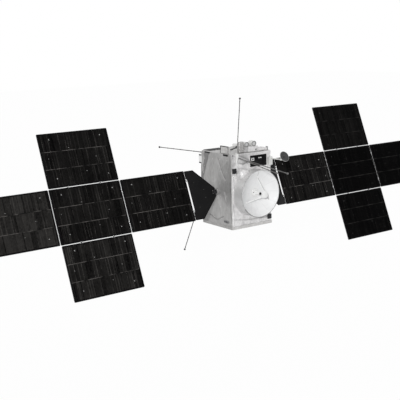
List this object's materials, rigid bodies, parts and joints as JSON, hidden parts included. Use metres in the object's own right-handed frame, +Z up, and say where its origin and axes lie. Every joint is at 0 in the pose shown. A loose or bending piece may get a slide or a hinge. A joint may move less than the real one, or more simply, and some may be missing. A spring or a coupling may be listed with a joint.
{
  "type": "space probe",
  "caption": "Outer-planet space probe: foil-wrapped box body, large front dish, cross-shaped folding solar wings, thin probe booms, steerable small dish and roof instruments.",
  "frame": {"origin": "centre of the launch ring's lower face", "axes": "+X along the wing span to the right wing, big dish looks along -Y, +Z up through the roof"},
  "size_m": [27.015, 9.4052, 8.0681],
  "materials": {
    "deck_foil": "crinkled foil blanket",
    "front_foil": "crinkled foil blanket",
    "side_foil": "crinkled foil blanket",
    "drum_foil": "taut foil blanket",
    "bench_foil": "crinkled foil blanket",
    "black_paint": "flat black paint",
    "pale_metal": "pale anodised",
    "bare_metal": "machined",
    "engine_metal": "heat-stained alloy",
    "dish_white": "white thermal paint",
    "feed_white": "white thermal paint",
    "strut_white": "white thermal paint",
    "radiator_white": "mirror tiles",
    "small_dish_grey": "dark grey coating",
    "boom_tube": "dark wrapped tube",
    "panel_black": "solar cells on carbon sheet",
    "yoke_black": "carbon sheet"
  },
  "bodies": {
    "bus": {"base_skirt": "side_foil", "bench": "bench_foil", "black_sensors": "black_paint", "boom_brackets": "bare_metal", "bottom_deck": "deck_foil", "core_block": "bare_metal", "dish_drum": "drum_foil", "dish_feed": "feed_white", "dish_hub": "bare_metal", "dish_reflector": "dish_white", "dish_tripod": "strut_white", "edge_box": "bench_foil", "edge_fins": "pale_metal", "edge_post": "bare_metal", "foil_bulge": "front_foil", "front_wall": "front_foil", "launch_ring": "bare_metal", "left_drive_housing": "bare_metal", "left_wall": "side_foil", "low_box": "bench_foil", "main_engine": "engine_metal", "rear_radiator": "radiator_white", "rear_wall": "side_foil", "recess_liner": "black_paint", "recess_sensors": "pale_metal", "right_drive_housing": "bare_metal", "right_wall": "side_foil", "roof_plate": "black_paint", "small_dish_arm": "pale_metal", "subreflector": "feed_white", "tall_block": "bench_foil", "telescopes": "pale_metal", "thruster_pods": "engine_metal", "top_deck": "deck_foil", "vent_plate": "bare_metal", "wall_covers": "black_paint"},
    "down_boom": {"down_boom": "boom_tube"},
    "front_boom_a": {"front_boom_a": "boom_tube"},
    "front_boom_b": {"front_boom_b": "boom_tube"},
    "left_centre_panel": {"left_centre_panel": "panel_black"},
    "left_hub": {"left_hub": "bare_metal"},
    "left_inner_panel": {"left_inner_panel": "panel_black"},
    "left_outer_panel": {"left_outer_panel": "panel_black"},
    "left_side_panel_a": {"left_side_panel_a": "panel_black"},
    "left_side_panel_b": {"left_side_panel_b": "panel_black"},
    "left_yoke": {"left_yoke": "yoke_black"},
    "rear_boom": {"rear_boom": "boom_tube"},
    "right_centre_panel": {"right_centre_panel": "panel_black"},
    "right_hub": {"right_hub": "bare_metal"},
    "right_inner_panel": {"right_inner_panel": "panel_black"},
    "right_outer_panel": {"right_outer_panel": "panel_black"},
    "right_side_panel_a": {"right_side_panel_a": "panel_black"},
    "right_side_panel_b": {"right_side_panel_b": "panel_black"},
    "right_yoke": {"right_yoke": "yoke_black"},
    "small_dish": {"small_dish": "small_dish_grey"},
    "small_dish_head": {"small_dish_head": "bare_metal"},
    "up_boom": {"up_boom": "boom_tube"}
  },
  "joints": [
    {"name": "left_drive", "type": "hinge", "parent": "bus", "child": "left_hub", "pos_m": [-1.315, 0, 1.81], "axis": [1, 0, 0], "range_deg": [-67.7, 112.3]},
    {"name": "left_fold", "type": "hinge", "parent": "left_hub", "child": "left_yoke", "pos_m": [-1.43, 0, 1.81], "axis": [0, 0.3795, 0.9252], "range_deg": [0, 90]},
    {"name": "left_fold_inner", "type": "hinge", "parent": "left_yoke", "child": "left_inner_panel", "pos_m": [-2.839, 0.02591, 1.79937], "axis": [0, 0.3795, 0.9252], "range_deg": [-180, 0]},
    {"name": "left_fold_centre", "type": "hinge", "parent": "left_inner_panel", "child": "left_centre_panel", "pos_m": [-6.421, -0.03701, 1.82518], "axis": [0, 0.3795, 0.9252], "range_deg": [0, 180]},
    {"name": "left_fold_outer", "type": "hinge", "parent": "left_centre_panel", "child": "left_outer_panel", "pos_m": [-9.983, 0.03701, 1.79482], "axis": [0, 0.3795, 0.9252], "range_deg": [-180, 0]},
    {"name": "left_side_a_fold", "type": "hinge", "parent": "left_centre_panel", "child": "left_side_panel_a", "pos_m": [-8.202, -0.497, 0.6509], "axis": [-1, 0, 0], "range_deg": [0, 180]},
    {"name": "left_side_b_fold", "type": "hinge", "parent": "left_centre_panel", "child": "left_side_panel_b", "pos_m": [-8.202, 0.497, 2.9691], "axis": [-1, 0, 0], "range_deg": [0, 180]},
    {"name": "right_drive", "type": "hinge", "parent": "bus", "child": "right_hub", "pos_m": [1.315, 0, 1.81], "axis": [1, 0, 0], "range_deg": [-67.7, 112.3]},
    {"name": "right_fold", "type": "hinge", "parent": "right_hub", "child": "right_yoke", "pos_m": [1.43, 0, 1.81], "axis": [0, -0.3795, -0.9252], "range_deg": [0, 90]},
    {"name": "right_fold_inner", "type": "hinge", "parent": "right_yoke", "child": "right_inner_panel", "pos_m": [2.839, 0.02591, 1.79937], "axis": [0, -0.3795, -0.9252], "range_deg": [-180, 0]},
    {"name": "right_fold_centre", "type": "hinge", "parent": "right_inner_panel", "child": "right_centre_panel", "pos_m": [6.421, -0.03701, 1.82518], "axis": [0, -0.3795, -0.9252], "range_deg": [0, 180]},
    {"name": "right_fold_outer", "type": "hinge", "parent": "right_centre_panel", "child": "right_outer_panel", "pos_m": [9.983, 0.03701, 1.79482], "axis": [0, -0.3795, -0.9252], "range_deg": [-180, 0]},
    {"name": "right_side_a_fold", "type": "hinge", "parent": "right_centre_panel", "child": "right_side_panel_a", "pos_m": [8.202, 0.45999, 2.98428], "axis": [1, 0, 0], "range_deg": [0, 180]},
    {"name": "right_side_b_fold", "type": "hinge", "parent": "right_centre_panel", "child": "right_side_panel_b", "pos_m": [8.202, -0.45999, 0.63572], "axis": [1, 0, 0], "range_deg": [0, 180]},
    {"name": "small_dish_turn", "type": "hinge", "parent": "bus", "child": "small_dish_head", "pos_m": [1.29, -1.904, 3.33], "axis": [0, 0, 1], "range_deg": [-90, 90]},
    {"name": "small_dish_tilt", "type": "hinge", "parent": "small_dish_head", "child": "small_dish", "pos_m": [1.29, -2.014, 3.427], "axis": [-1, 0, 0], "range_deg": [-30, 60]},
    {"name": "rear_boom_swing", "type": "hinge", "parent": "bus", "child": "rear_boom", "pos_m": [-1.16, 1.295, 3.63], "axis": [1, 0, 0], "range_deg": [0, 91.6]},
    {"name": "down_boom_swing", "type": "hinge", "parent": "bus", "child": "down_boom", "pos_m": [-1.029, 1.295, 1.924], "axis": [1, 0, 0], "range_deg": [0, 151.8]},
    {"name": "up_boom_swing", "type": "hinge", "parent": "bus", "child": "up_boom", "pos_m": [1.059, 1.295, 3.2], "axis": [-1, 0, 0], "range_deg": [0, 180]},
    {"name": "front_boom_a_swing", "type": "hinge", "parent": "bus", "child": "front_boom_a", "pos_m": [-0.848, -1.295, 3.56], "axis": [-1, 0, 0], "range_deg": [0, 98.3]},
    {"name": "front_boom_b_swing", "type": "hinge", "parent": "bus", "child": "front_boom_b", "pos_m": [-0.202, -1.295, 3.34], "axis": [-1, 0, 0], "range_deg": [0, 95.5]}
  ],
  "couplings": [
    {"joint": "left_fold_inner", "follows": "left_fold", "ratio": -2},
    {"joint": "left_fold_centre", "follows": "left_fold", "ratio": 2},
    {"joint": "left_fold_outer", "follows": "left_fold", "ratio": -2},
    {"joint": "left_side_b_fold", "follows": "left_side_a_fold", "ratio": 1},
    {"joint": "right_fold_inner", "follows": "right_fold", "ratio": -2},
    {"joint": "right_fold_centre", "follows": "right_fold", "ratio": 2},
    {"joint": "right_fold_outer", "follows": "right_fold", "ratio": -2},
    {"joint": "right_side_b_fold", "follows": "right_side_a_fold", "ratio": 1}
  ]
}
